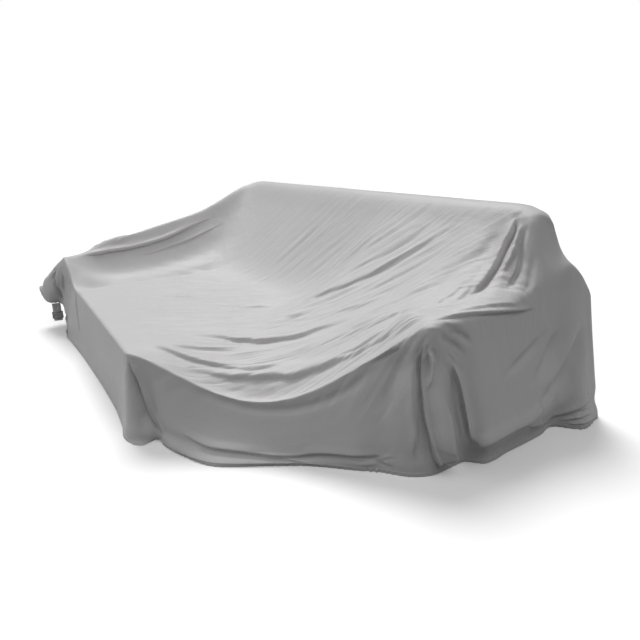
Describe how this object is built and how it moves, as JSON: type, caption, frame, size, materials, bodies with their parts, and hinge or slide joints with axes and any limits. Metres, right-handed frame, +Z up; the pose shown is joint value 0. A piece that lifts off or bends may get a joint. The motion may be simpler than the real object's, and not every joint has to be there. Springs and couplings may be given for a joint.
{
  "type": "furniture dust cover",
  "caption": "Loose one-piece fabric dust cover draped over an L-shaped sofa down to the floor, with a gathered hem and a buckled strap at one raised corner.",
  "frame": {"origin": "on the floor, in the middle of the cover's own box", "axes": "+X along the sofa to its right arm, +Y to the back of the sofa, +Z up"},
  "size_m": [3.059, 2.0754, 0.9853],
  "materials": {
    "cloth": "soft satin",
    "webbing": "woven matt",
    "buckle": "matt"
  },
  "bodies": {
    "root": {"cover": "cloth", "corner_strap": "webbing", "strap_buckle": "buckle"}
  },
  "joints": []
}
